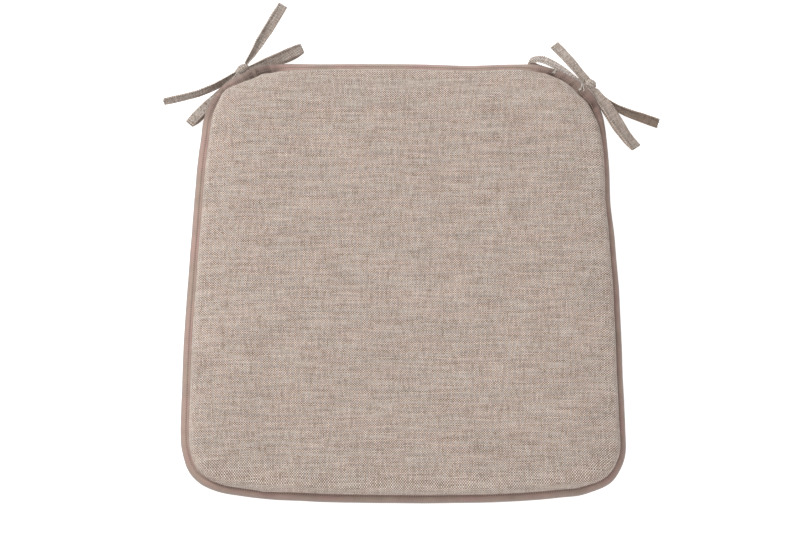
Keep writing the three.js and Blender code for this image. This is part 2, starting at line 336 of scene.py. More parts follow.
def twisted_thread(name, base):
    shader = Shader(name, roughness=0.6)
    along, around, _ = shader.cloth()
    slant = shader.times_plus(around, 0.35 * MM, along)
    twist = shader.math("SINE", shader.times(slant, 2 * math.pi / TWIST_PITCH))
    patch = shader.noise((along, around), scale=160, detail=2)
    shades = [(0.3, scaled(base, 0.75)), (0.7, scaled(base, 1.15))]
    shader.put("Base Color", shader.ramp(patch, shades))
    shader.bump(twist, 0.1 * MM, 0.8)
    shader.sheen(0.2, 0.4, (1, 0.95, 0.9))
    return shader.material


def open_foam(name, base):
    shader = Shader(name, roughness=0.95)
    place = shader.node("ShaderNodeTexCoord").outputs["Object"]
    cells = shader.node("ShaderNodeTexVoronoi")
    cells.inputs["Scale"].default_value = 900
    shader.feed(cells.inputs["Vector"], place)
    pores = cells.outputs["Distance"]
    shader.put("Base Color", shader.ramp(pores, [(0.0, base), (0.8, scaled(base, 0.72))]))
    shader.bump(pores, 0.4 * MM, 0.8)
    return shader.material


def pale_floor(name):
    shader = Shader(name, roughness=0.85)
    place = shader.node("ShaderNodeTexCoord").outputs["Object"]
    grain = shader.noise(place, scale=40, detail=2)
    shades = [(0.3, (0.51, 0.51, 0.51)), (0.7, (0.53, 0.53, 0.53))]
    shader.put("Base Color", shader.ramp(grain, shades))
    shader.put("Emission Color", (1, 1, 1, 1))
    shader.put("Emission Strength", 0.84)
    return shader.material


LOOKS = {
    "panel": woven_cloth("panel_weave", (168, 217, 244), (94, 138, 181), (21.2, 36.6)),
    "tie": tie_weave("tie_weave", 1.0),
    # Copies of the tie weave painted lighter and darker: painted light and painted shade for single
    # strips
    "tie_in_painted_light": tie_weave("tie_weave_in_painted_light", 1.13),
    "tie_in_painted_half_shade": tie_weave("tie_weave_in_painted_half_shade", 0.95),
    "tie_in_painted_shade": tie_weave("tie_weave_in_painted_shade", 0.76),
    "binding": satin_tape("binding_satin", (0.377, 0.263, 0.219)),
    "stitch": twisted_thread("stitch_thread", (0.4, 0.29, 0.245)),
    "tie_stitch": twisted_thread("tie_stitch_thread", (0.15, 0.118, 0.1)),
    "tack": twisted_thread("tack_thread", (0.31, 0.22, 0.18)),
    "ivory": twisted_thread("ivory_thread", (0.95, 0.9, 0.82)),
    "foam": open_foam("cream_foam", (0.82, 0.76, 0.62)),
    "floor": pale_floor("pale_floor"),
}


# ---- Mesh helpers

def mesh_piece(name, points, faces, look, cloth=None):
    """A smooth mesh object. cloth is each point's place on the flat cloth."""
    mesh = bpy.data.meshes.new(name)
    mesh.from_pydata(np.asarray(points, float).tolist(), [], [tuple(face) for face in faces])
    mesh.polygons.foreach_set("use_smooth", [True] * len(mesh.polygons))
    if cloth is not None:
        stored = mesh.attributes.new("cloth", "FLOAT_VECTOR", "POINT")
        flat = np.zeros((len(points), 3), np.float32)
        flat[:, : cloth.shape[1]] = cloth
        stored.data.foreach_set("vector", flat.ravel())
    mesh.materials.append(LOOKS[look])
    mesh.update()
    piece = bpy.data.objects.new(name, mesh)
    scene.collection.objects.link(piece)
    return piece


def loft_faces(rings, around, closed=False, flip=False):
    """Quads between rings of points, and from the last back to the first if it is closed."""
    ring, step = np.mgrid[: rings if closed else rings - 1, :around]
    here, there, after = ring * around, (ring + 1) % rings * around, (step + 1) % around
    quads = np.stack([here + step, here + after, there + after, there + step], 2).reshape(-1, 4)
    return (quads[:, ::-1] if flip else quads).tolist()


def capped_loft(rings, around, flip=False):
    """An open loft's quads, and a face over each of its ends."""
    first, last = range(around), range((rings - 1) * around, rings * around)
    ends = (first, last[::-1]) if flip else (first[::-1], last)
    return loft_faces(rings, around, flip=flip) + [tuple(end) for end in ends]


def joined(parts):
    """Several (points, faces, cloth) as one."""
    points, faces, cloths, start = [], [], [], 0
    for part_points, part_faces, part_cloth in parts:
        points.append(part_points)
        cloths.append(part_cloth)
        faces.extend([tuple(start + i for i in face) for face in part_faces])
        start += len(part_points)
    return np.concatenate(points), faces, np.concatenate(cloths)


def joined_piece(name, parts, look):
    points, faces, cloth = joined(parts)
    return mesh_piece(name, points, faces, look, cloth)


def stands_for(piece, node):
    """The piece is part of the pad's own body, and takes the place of a CAD node."""
    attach(piece, "cushion")
    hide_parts(node)


def apply_modifiers(piece):
    """Replaces the piece's mesh with what its modifiers make of it."""
    bpy.context.view_layer.update()
    graph = bpy.context.evaluated_depsgraph_get()
    made = bpy.data.meshes.new_from_object(piece.evaluated_get(graph))
    piece.modifiers.clear()
    old = piece.data
    piece.data = made
    bpy.data.meshes.remove(old)
    made.name = piece.name


def unit(vectors):
    return vectors / np.linalg.norm(vectors, axis=-1, keepdims=True)


def bell(distance, reach):
    """1 at no distance, and a smooth fall to nothing at about twice the reach."""
    return np.exp(-((distance / reach) ** 2))


def lengths_of(points):
    """How far along a path each of its points lies."""
    return np.concatenate([[0], np.cumsum(np.linalg.norm(np.diff(points, axis=0), axis=1))])


def read_along(places, lengths, points, period=None):
    """Points at places along a path whose own points lie at those lengths."""
    return np.stack([np.interp(places, lengths, column, period=period) for column in points.T], 1)


def drift(points, size, seed):
    """Smooth noise from about -1 to 1 at plan points, with features of that size."""
    return np.array([noise.noise((x / size, y / size, seed)) for x, y in points[:, :2]])


# A direction that no thread runs along, so that each has a side
NO_THREAD_WAY = (0.13, 0.21, 1.0)


def tube(path, radii, sides=6):
    """A round thread along a path of points, closed at both ends."""
    path = np.asarray(path, float)
    tangent = unit(np.gradient(path, axis=0))
    across = unit(np.cross(tangent, NO_THREAD_WAY))
    up = np.cross(across, tangent)
    angles = np.linspace(0, 2 * math.pi, sides, endpoint=False)
    offset = across[:, None] * np.cos(angles)[None, :, None]
    offset = offset + up[:, None] * np.sin(angles)[None, :, None]
    points = (path[:, None] + offset * np.asarray(radii)[:, None, None]).reshape(-1, 3)
    along = np.repeat(lengths_of(path), sides)
    cloth = np.stack([along, np.tile(angles, len(path)), np.zeros(len(points))], 1)
    return points, capped_loft(len(path), sides, flip=True), cloth


# ---- The pad's outline

BACK_CORNER_X = 0.1053
BACK_CORNER_RADIUS = 0.0695
FRONT_CORNER_RADIUS = 0.048
FRONT_EDGE_RADIUS = 1.6
SIDE_EDGE_RADIUS = 3.6
ARC_POINTS = 240
EDGE_WAVER = 0.22 * MM

# Where the sewn edge strays from the drawn outline: x, y, reach, distance outwards
EDGE_STRAYS = [
    (-0.01, -0.2015, 0.07, -0.0014), (-0.154, -0.193, 0.026, -0.0026),
    (-0.095, -0.1985, 0.034, -0.0006), (-0.189, -0.158, 0.016, -0.0018),
    (-0.189, -0.11, 0.034, -0.0006), (-0.181, 0.075, 0.05, -0.0004),
    (-0.186, 0.01, 0.06, -0.0007), (-0.1745, 0.138, 0.018, -0.001),
    (-0.158, 0.178, 0.014, 0.001), (0.16, -0.193, 0.012, -0.0011),
    (0.137, -0.196, 0.014, -0.0007), (0.178, -0.179, 0.014, 0.0014),
    (0.188, -0.16, 0.014, 0.0004), (0.189, -0.084, 0.024, -0.0004),
    (0.185, -0.004, 0.02, 0.0004), (0.18, 0.07, 0.022, -0.001),
    (0.176, 0.125, 0.03, 0.0011), (0.16, 0.174, 0.024, 0.0028),
    (0.057, 0.2015, 0.032, -0.0017),
]

# Where the seam is drawn further in and the tape shows wider: x, y, reach, distance inwards
SEAM_DRAWS = [
    (-0.135, 0.1947, 0.012, 0.0034), (-0.1475, 0.1865, 0.007, 0.0014),
    (-0.116, 0.199, 0.012, 0.0028), (-0.094, 0.2015, 0.018, 0.0011),
    (0.142, 0.191, 0.022, 0.003), (0.1695, 0.157, 0.012, 0.0024),
    (0.116, 0.2005, 0.01, 0.0012), (0.1595, 0.175, 0.0125, 0.0054),
    (0.178, 0.12, 0.014, -0.0004),
]


def angle_of(vector):
    return math.atan2(vector[1], vector[0])


def arc(centre, radius, start, end):
    angles = np.linspace(start, end, ARC_POINTS, endpoint=False)
    normals = np.stack([np.cos(angles), np.sin(angles)], 1)
    return centre + radius * normals, normals


def draw_outline():
    """Dense points and outward normals, counterclockwise from the middle of the front edge."""
    low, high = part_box("edge_binding")
    half_width, half_depth = (high.x - low.x) / 2, (high.y - low.y) / 2
    back = np.array([BACK_CORNER_X, half_depth - BACK_CORNER_RADIUS])
    long_arc = np.array([0, FRONT_EDGE_RADIUS - half_depth])
    front_x = half_width - FRONT_CORNER_RADIUS
    reach = FRONT_EDGE_RADIUS - FRONT_CORNER_RADIUS
    front = np.array([front_x, long_arc[1] - math.sqrt(reach**2 - front_x**2)])
    to_back = SIDE_EDGE_RADIUS - BACK_CORNER_RADIUS
    to_front = SIDE_EDGE_RADIUS - FRONT_CORNER_RADIUS
    apart = front - back
    length = np.linalg.norm(apart)
    along = (to_back**2 - to_front**2 + length**2) / (2 * length)
    across = math.sqrt(to_back**2 - along**2)
    line = apart / length
    side = back + along * line + across * np.array([line[1], -line[0]])
    front_end, side_start = angle_of(front - long_arc), angle_of(front - side)
    side_end = angle_of(back - side)
    straight_x = np.linspace(BACK_CORNER_X, 0, ARC_POINTS)
    straight = np.stack([straight_x, np.full(ARC_POINTS, half_depth)], 1)
    stretches = [
        arc(long_arc, FRONT_EDGE_RADIUS, -math.pi / 2, front_end),
        arc(front, FRONT_CORNER_RADIUS, front_end, side_start),
        arc(side, SIDE_EDGE_RADIUS, side_start, side_end),
        arc(back, BACK_CORNER_RADIUS, side_end, math.pi / 2),
        (straight, np.tile([0.0, 1.0], (ARC_POINTS, 1))),
    ]
    right_half = [np.concatenate(parts) for parts in zip(*stretches)]
    return [np.concatenate([half, half[-2:0:-1] * (-1, 1)]) for half in right_half]


def near(points, spots):
    """The sum of round bumps, each a row of x, y, reach and amount."""
    total = np.zeros(len(points))
    for x, y, reach, amount in spots:
        distance = np.hypot(points[:, 0] - x, points[:, 1] - y)
        total += amount * bell(distance, reach)
    return total


drawn_points, drawn_normals = draw_outline()
drawn_lengths = lengths_of(drawn_points)
PERIMETER = drawn_lengths[-1] + np.linalg.norm(drawn_points[0] - drawn_points[-1])
STITCH_COUNT = int(PERIMETER / STITCH_PITCH)


def outline_at(travelled):
    """Points and normals of the sewn edge at lengths along it."""
    drawn = np.concatenate([drawn_points, drawn_normals], 1)
    found = read_along(travelled, drawn_lengths, drawn, PERIMETER)
    points, normals = found[:, :2], unit(found[:, 2:])
    stray = near(points, EDGE_STRAYS) + EDGE_WAVER * drift(points, size=0.03, seed=4)
    return points + normals * stray[:, None], normals


def length_at_angle(degrees):
    """How far along the edge its normal first points that way."""
    angles = np.degrees(np.unwrap(np.arctan2(drawn_normals[:, 1], drawn_normals[:, 0])))
    return float(np.interp(degrees, angles, drawn_lengths))


def corner_share(normals):
    """1 in the middle of a corner, and 0 on the straight edges."""
    return np.clip(4 * (normals[:, 0] * normals[:, 1]) ** 2, 0, 1)


# ---- Flange and panels

FLANGE_EDGE_HEIGHT = 10.5 * MM
FLANGE_SLOPE = 0.36
FLANGE_WAVE = 0.35 * MM
SEAM_INSET = 7.4 * MM
CLOTH = 0.8 * MM


def flange_wave(points):
    return FLANGE_WAVE * drift(points, size=0.045, seed=9)


def flange_height(inset, points):
    """The middle of the flange, which waves a little along the edge."""
    return FLANGE_EDGE_HEIGHT + FLANGE_SLOPE * inset + flange_wave(points)


# Rings of each face from the seam inwards, as inset and height in mm
TOP_RINGS = [
    (7.4, 13.6), (7.3, 15.4), (7.35, 17.4), (7.8, 19.6), (8.9, 21.7), (10.8, 23.3),
    (13.8, 24.05), (18.5, 24.5), (25, 24.9), (32, 25.2), (40, 25.5),
]
UNDER_RINGS = [
    (7.4, 12.7), (7.7, 11.0), (8.4, 9.0), (9.6, 6.8), (11.6, 4.6), (14.5, 2.6),
    (18.5, 1.1), (24, 0.35), (30, 0.08), (35, 0), (40, 0),
]
CROWN = 3.0 * MM
FLAT_REACH = 40 * MM
# The pale ridge along the upper rim, worn and partly painted highlight, and where it begins on the
# wall
RIM_INSET = 9.4 * MM
RIM_REACH = 1.7 * MM
RIM_FOOT = 17.5 * MM
# The wall's lean dies out inwards from the seam, and the front rim stands a little further out
LEAN_REACH = 9 * MM
CRISP_INSET = 10.5 * MM
CRISP_REACH = 3 * MM
CRISP = 0.9 * MM
COLUMNS = 84
ROWS = 84
AROUND = 2 * (COLUMNS + ROWS)

# Where the upper wall bulges over the binding or draws back: x, y, reach, distance outwards
WALL_BULGES = [
    (0.18, 0.088, 0.042, 0.001), (-0.119, -0.199, 0.004, 0.0013),
    (-0.158, 0.177, 0.008, 0.0012), (-0.124, 0.199, 0.005, 0.0008),
]


def ring_lengths():
    """Lengths along the edge that split it into four sides between its corners' middles."""
    corners = [length_at_angle(angle) for angle in (-135 + 360, -45, 45, 135)]
    corners[0] -= PERIMETER
    corners.append(corners[0] + PERIMETER)
    counts = [COLUMNS, ROWS, COLUMNS, ROWS]
    sides = [
        np.linspace(start, end, count, endpoint=False)
        for start, end, count in zip(corners, corners[1:], counts)
    ]
    return np.concatenate(sides)


def wall_shift(points, normals):
    """How far the upper wall leans outwards: most at the front, and uneven at the corners."""
    right = np.maximum(normals[:, 0], 0) ** 4
    lean = (1.1 + 0.6 * normals[:, 0] + 0.8 * right - 1.0 * normals[:, 1]) * MM
    ripple = drift(points, size=0.011, seed=2) * (0.12 + 0.5 * corner_share(normals)) * MM
    return lean + ripple + near(points, WALL_BULGES)


def four_sides(ring):
    """The front, right, back and left sides of a ring, each from the left or from the front."""
    right_start, back_start, left_start = COLUMNS, COLUMNS + ROWS, 2 * COLUMNS + ROWS
    closed = np.concatenate([ring, ring[:1]])
    front, right = closed[: right_start + 1], closed[right_start : back_start + 1]
    return front, right, closed[back_start : left_start + 1][::-1], closed[left_start:][::-1]


def patch(edge, height, crown):
    """Fills a ring with a grid of points, and raises its middle."""
    front, right, back, left = four_sides(edge)
    u = np.linspace(0, 1, COLUMNS + 1)[None, :, None]
    v = np.linspace(0, 1, ROWS + 1)[:, None, None]
    grid = (1 - v) * front[None] + v * back[None] + (1 - u) * left[:, None] + u * right[:, None]
    grid = grid - (1 - u) * (1 - v) * front[0] - u * (1 - v) * front[-1]
    grid = grid - (1 - u) * v * back[0] - u * v * back[-1]
    rise = 16 * u * (1 - u) * v * (1 - v)
    return np.concatenate([grid, height + crown * rise], 2)


def grid_indices(ring_start, inner_start):
    """The patch's point numbers: the last ring round the outside, and new points within."""
    index = np.zeros((ROWS + 1, COLUMNS + 1), int)
    index[0], index[:, -1], index[-1], index[:, 0] = four_sides(ring_start + np.arange(AROUND))
    inside = (ROWS - 1) * (COLUMNS - 1)
    index[1:-1, 1:-1] = inner_start + np.arange(inside).reshape(ROWS - 1, COLUMNS - 1)
    return index


def panel_shell(rings, crown, upper, seam=True):
    """Points, faces and cloth places of one face of the pad. Its first ring is the seam."""
    edge, normals = outline_at(ring_lengths())
    draw = near(edge, SEAM_DRAWS)
    shift = wall_shift(edge, normals) * (1 if upper else 0.3) - draw
    crisp = CRISP * np.clip(-normals[:, 1], 0, 1)
    # Most at the front and none at the back: the pale rim is wear, and painted highlight on the
    # side that faces away from the key light
    rim_wear_and_painted_highlight = np.clip(0.2 - 0.8 * normals[:, 1], 0, 1)
    insets, heights = np.array(rings).T * MM
    steps = np.hypot(np.diff(insets), np.diff(heights))
    unrolled = FLAT_REACH - np.append(np.cumsum(steps[::-1])[::-1], 0)
    points, cloth = [], []
    for i, (inset, height) in enumerate(zip(insets, heights)):
        share = bell(inset - SEAM_INSET, LEAN_REACH)
        rim = bell(inset - CRISP_INSET, CRISP_REACH) if upper else 0
        leaning = -draw if seam and i == 0 else shift * share + crisp * rim
        moved = edge - normals * (inset - leaning)[:, None]
        wear_and_painted_light = bell(inset - RIM_INSET, RIM_REACH) if height > RIM_FOOT else 0
        points.append(np.column_stack([moved, height + flange_wave(edge) * share]))
        cloth.append(np.column_stack([edge - normals * unrolled[i], wear_and_painted_light * rim_wear_and_painted_highlight]))
    count = len(rings)
    inner = patch(points[-1][:, :2], heights[-1], crown)[1:-1, 1:-1].reshape(-1, 3)
    index = grid_indices((count - 1) * AROUND, count * AROUND)
    quads = np.stack([index[:-1, :-1], index[:-1, 1:], index[1:, 1:], index[1:, :-1]], -1)
    quads = quads.reshape(-1, 4)
    faces = loft_faces(count, AROUND, flip=not upper)
    faces.extend((quads if upper else quads[:, ::-1]).tolist())
    return np.concatenate([*points, inner]), faces, np.concatenate([*cloth, inner * (1, 1, 0)])


# ---- Cloth simulation

SIM_FRAMES = 20
SIM_CAP = 2.2 * MM
SIM_RIM_CAP = 0.35 * MM
# The insets in mm between which the cap grows from the rim's to the whole one
SIM_FREE_FROM, SIM_FREE_AT = 12, 40
SIM_SETTINGS = {
    "quality": 5,
    "mass": 0.3,
    "tension_stiffness": 25,
    "compression_stiffness": 25,
    "shear_stiffness": 12,
    "bending_stiffness": 0.6,
    "shrink_min": -0.012,
    "use_pressure": True,
    "uniform_pressure_force": 4.0,
    "vertex_group_mass": "held",
}
# Points lower than this rest on the seat, and are held
RESTING = 0.5 * MM


def caps(rings, count):
    """How far each point of a face may settle: little at the rim, and more further in."""
    insets = np.repeat([inset for inset, _ in rings], AROUND)
    insets = np.pad(insets, (0, count - len(insets)), mode="edge")
    share = np.clip((insets - SIM_FREE_FROM) / (SIM_FREE_AT - SIM_FREE_FROM), 0, 1)
    return SIM_RIM_CAP + (SIM_CAP - SIM_RIM_CAP) * share**2 * (3 - 2 * share)


def inflate(points, faces, held, cap):
    """Blows the cover up with Blender's cloth, and returns where its points settle."""
    piece = mesh_piece("cover_in_simulation", points, faces, "panel")
    group = piece.vertex_groups.new(name="held")
    group.add(held.tolist(), 1.0, "REPLACE")
    settings = piece.modifiers.new("cloth", "CLOTH").settings
    for setting, value in SIM_SETTINGS.items():
        setattr(settings, setting, value)
    settings.effector_weights.gravity = 0
    scene.frame_start, scene.frame_end = 1, SIM_FRAMES
    for step in range(1, SIM_FRAMES + 1):
        scene.frame_set(step)
    graph = bpy.context.evaluated_depsgraph_get()
    settled = piece.evaluated_get(graph).to_mesh()
    result = np.zeros(len(points) * 3)
    settled.vertices.foreach_get("co", result)
    bpy.data.objects.remove(piece)
    scene.frame_set(1)
    moved = result.reshape(-1, 3) - points
    length = np.linalg.norm(moved, axis=1, keepdims=True)
    return points + moved * np.minimum(1, cap[:, None] / np.maximum(length, 1e-9))


def pad_cover():
    """The two panels' outer faces, sewn together at the seam and simulated as one closed cover."""
    top, top_faces, top_cloth = panel_shell(TOP_RINGS, CROWN, True)
    under, under_faces, under_cloth = panel_shell(UNDER_RINGS, 0, False)
    seam = (top[:AROUND] + under[:AROUND]) / 2
    top[:AROUND] = seam
    under[:AROUND] = seam
    shift = len(top) - AROUND
    moved_faces = [[i if i < AROUND else i + shift for i in face] for face in under_faces]
    faces = top_faces + moved_faces
    points = np.concatenate([top, under[AROUND:]])
    rests = np.flatnonzero(points[:, 2] < RESTING)
    cap = np.append(caps(TOP_RINGS, len(top)), caps(UNDER_RINGS, len(under))[AROUND:])
    settled = inflate(points, faces, np.concatenate([np.arange(AROUND), rests]), cap)
    settled[:, 2] = np.maximum(settled[:, 2], 0)
    under = np.concatenate([settled[:AROUND], settled[len(top) :]])
    top = settled[: len(top)]
    return (top, top_faces, top_cloth), (under, under_faces, under_cloth)


# Half the gap between the two panels in the binding and at the seam, and the wall's cloth length
MARGIN_INSETS = (2.0 * MM, 4.7 * MM)
MARGIN_LIFT = 0.95 * MM
SEAM_LIFT = 0.75 * MM
WALL_LENGTH = 18 * MM


def seam_margin(edge, normals, side):
    """The cloth's margin inside the binding: points and flat places of its two rings."""
    points, flat = [], []
    for inset in MARGIN_INSETS:
        height = flange_height(inset, edge) + side * MARGIN_LIFT
        points.append(np.column_stack([edge - normals * inset, height]))
        place = edge - normals * (inset - WALL_LENGTH)
        flat.append(np.column_stack([place, np.zeros(len(edge))]))
    return points, flat


def finish_panel(name, shell, side):
    """Adds the margin inside the binding, smooths the panel and gives the cloth its thickness."""
    points, faces, cloth = shell
    points = points.copy()
    points[:AROUND, 2] += side * SEAM_LIFT
    margin, margin_cloth = seam_margin(*outline_at(ring_lengths()), side)
    count = len(margin) * AROUND
    points = np.concatenate([*margin, points])
    cloth = np.concatenate([*margin_cloth, cloth])
    cloth[:, :2] -= points[:, :2]
    all_faces = loft_faces(len(margin) + 1, AROUND, flip=side < 0)
    all_faces.extend([[i + count for i in face] for face in faces])
    piece = mesh_piece(name, points, all_faces, "panel", cloth)
    rounded = piece.modifiers.new("smooth", "SUBSURF")
    rounded.levels = rounded.render_levels = 1
    thick = piece.modifiers.new("cloth", "SOLIDIFY")
    thick.thickness = CLOTH
    thick.offset = -1
    apply_modifiers(piece)
    add_plan_places(piece.data)
    return piece


def add_plan_places(mesh):
    """Turns each stored offset on the cloth into a place, now that the points are final."""
    places = np.zeros((len(mesh.vertices), 3), np.float32)
    offsets = np.zeros((len(mesh.vertices), 3), np.float32)
    mesh.vertices.foreach_get("co", places.ravel())
    mesh.attributes["cloth"].data.foreach_get("vector", offsets.ravel())
    offsets[:, :2] += places[:, :2]
    mesh.attributes["cloth"].data.foreach_set("vector", offsets.ravel())


top_shell, under_shell = pad_cover()
top_panel = finish_panel("upper_panel", top_shell, 1)
stands_for(top_panel, "top_panel")
under_panel = finish_panel("lower_panel", under_shell, -1)
stands_for(under_panel, "bottom_panel")

# How far the foam's rings stay inside the cover's, in mm
FOAM_CLEAR = 2.2


def add_foam():
    """The foam block inside, a little smaller than the cover all round."""
    top_rings = [(inset + FOAM_CLEAR, height - FOAM_CLEAR) for inset, height in TOP_RINGS[2:]]
    under_rings = [(inset + FOAM_CLEAR, height + FOAM_CLEAR) for inset, height in UNDER_RINGS[2:]]
    top, top_faces, top_cloth = panel_shell(top_rings, CROWN * 0.9, True, seam=False)
    under, under_faces, under_cloth = panel_shell(under_rings, 0, False, seam=False)
    under_faces = [[i + len(top) for i in face] for face in under_faces]
    ring = np.arange(AROUND)
    after = (ring + 1) % AROUND
    wall = np.stack([len(top) + ring, len(top) + after, after, ring], 1).tolist()
    points, cloth = np.concatenate([top, under]), np.concatenate([top_cloth, under_cloth])
    foam = mesh_piece("foam_block", points, top_faces + under_faces + wall, "foam", cloth)
    stands_for(foam, "foam_core")


add_foam()


# ---- Binding and its seam

BINDING_STEPS = 960
TAPE_WIDTH = 7.5 * MM
GATHER_DEPTH = 0.7 * MM
TAPE_WAVE = 0.22 * MM
BACK_LIFT = 2.2 * MM
STITCH_FILL = 0.4 * MM
FOLD_RIPPLE = 0.25 * MM
FOLD_REACH = 3 * MM
SHADE_REACH = 5.5 * MM

# The folded tape's section, as inset and height above the flange, in mm: over the upper face,
# round the outer fold, back under the lower face, and along the inside
TAPE_SECTION = [
    (7.75, 1.75), (7.5, 2.25), (6.5, 2.5), (5.5, 2.38), (4.8, 2.1), (4.1, 2.28),
    (3.4, 2.32), (2.6, 2.2), (1.9, 1.98), (1.15, 1.62), (0.5, 1.08), (0.1, 0.42),
    (0.0, -0.25), (0.12, -0.95), (0.55, -1.6), (1.25, -2.05), (2.2, -2.3), (3.4, -2.3),
    (4.3, -2.1), (4.8, -1.8), (5.5, -2.1), (6.5, -2.25), (7.5, -2.1), (7.75, -1.75),
    (7.5, -1.4), (6.0, -1.22), (4.0, -1.22), (2.3, -1.2), (1.45, -0.7), (1.2, 0.0),
    (1.45, 0.7), (2.3, 1.2), (4.0, 1.22), (6.0, 1.22), (7.5, 1.4),
]

# Where the tape's inner side is drawn down or stands up: x, y, reach, height
TAPE_DIPS = [
    (-0.1225, 0.1925, 0.011, -0.0017), (-0.15, 0.176, 0.006, -0.0008),
    (0.1085, 0.1965, 0.006, -0.0009), (0.135, 0.1895, 0.016, -0.0007),
    (0.158, 0.17, 0.014, -0.0009),
]

# Painted shade where the tape gathers at the corners: x, y, reach, share
TAPE_PAINTED_SHADES = [
    (-0.11, 0.2, 0.008, 0.4), (-0.124, 0.1985, 0.012, 1.1),
    (-0.14, 0.192, 0.012, 0.62), (-0.158, 0.177, 0.013, 0.66),
    (-0.169, 0.161, 0.011, 0.45), (0.129, 0.1975, 0.013, 0.86),
    (0.148, 0.1865, 0.013, 0.68), (0.165, 0.167, 0.0125, 1.1),
    (0.174, 0.147, 0.014, 0.4),
]


def tape_lift(points, normals, inset):
    """How much the inner side puckers, dips and, at the back, stands up: none at the outer fold."""
    share = min(inset / TAPE_WIDTH, 1)
    gathers = GATHER_DEPTH * drift(points, size=0.0038, seed=12) * corner_share(normals)
    waves = TAPE_WAVE * drift(points, size=0.016, seed=17)
    back = np.clip(normals[:, 1], 0, 1) ** 3
    filled = STITCH_FILL * bell(inset - STITCH_INSET, 1.2 * MM)
    uneven = share**1.5 * (gathers + waves + near(points, TAPE_DIPS))
    return (share * BACK_LIFT + filled) * back + uneven


def tape_spread(points):
    """How much wider the tape is than its section there, because the seam is drawn inwards."""
    return 1 + near(points, SEAM_DRAWS) / SEAM_INSET


def add_binding():
    travelled = np.arange(BINDING_STEPS) * PERIMETER / BINDING_STEPS
    edge, normals = outline_at(travelled)
    stitched = travelled * STITCH_PITCH * STITCH_COUNT / PERIMETER
    fold = FOLD_RIPPLE * drift(edge, size=0.012, seed=21) * (0.4 + corner_share(normals))
    wider = tape_spread(edge)
    rings, cloth = [], []
    for inset, above in ((a * MM, b * MM) for a, b in TAPE_SECTION):
        near_fold = max(0.0, 1 - inset / FOLD_REACH)
        moved = edge - normals * (inset * wider - fold * near_fold)[:, None]
        lift = tape_lift(edge, normals, inset) if above > 0.3 * MM else 0
        rings.append(np.column_stack([moved, flange_height(inset, edge) + above + lift]))
        # Painted shade at the gathered corners, deeper towards the tape's inner side
        wear_and_painted_light = near(edge, TAPE_PAINTED_SHADES) * (0.5 + 0.5 * min(inset / SHADE_REACH, 1) ** 1.6)
        cloth.append(np.stack([stitched, np.full(BINDING_STEPS, inset), wear_and_painted_light], 1))
    faces = loft_faces(len(rings), BINDING_STEPS, closed=True, flip=True)
    points, cloth = np.concatenate(rings), np.concatenate(cloth)
    binding = mesh_piece("folded_binding", points, faces, "binding", cloth)
    stands_for(binding, "edge_binding")


add_binding()

# A stitch's path, as a share of the pitch and a height in mm, and the thread's radii in mm
STITCH_SHAPE = [(0.06, -0.32), (0.2, 0.0), (0.4, 0.14), (0.6, 0.14), (0.8, 0.0), (0.94, -0.32)]
STITCH_RADII = [0.14, 0.3, 0.36, 0.36, 0.3, 0.14]
STITCH_HEIGHT = 2.06 * MM
STITCH_SLIP = 0.12


def add_stitches(name, side, node):
    """One lockstitch after another along the binding, each dipping into the tape at its ends."""
    pitch = PERIMETER / STITCH_COUNT
    luck = random.Random(5 + side)
    places = np.array([(i + t) * pitch for i in range(STITCH_COUNT) for t, _ in STITCH_SHAPE])
    edge, normals = outline_at(places)
    slips = [luck.uniform(-STITCH_SLIP, STITCH_SLIP) * MM for _ in range(STITCH_COUNT)]
    inset = STITCH_INSET * tape_spread(edge) + np.repeat(slips, len(STITCH_SHAPE))
    rise = np.tile([height * MM for _, height in STITCH_SHAPE], STITCH_COUNT)
    lift = tape_lift(edge, normals, STITCH_INSET) if side > 0 else 0
    height = flange_height(STITCH_INSET, edge) + side * (STITCH_HEIGHT + rise) + lift
    path = np.column_stack([edge - normals * inset[:, None], height])
    lines = path.reshape(STITCH_COUNT, len(STITCH_SHAPE), 3)
    radii = np.array(STITCH_RADII) * MM
    stitches = joined_piece(name, [tube(line, radii) for line in lines], "stitch")
    stands_for(stitches, node)


add_stitches("seam_stitches_upper", 1, "seam_thread_top")
add_stitches("seam_stitches_lower", -1, "seam_thread_bottom")


# ---- Ties

TIE_THICKNESS = 1.3 * MM

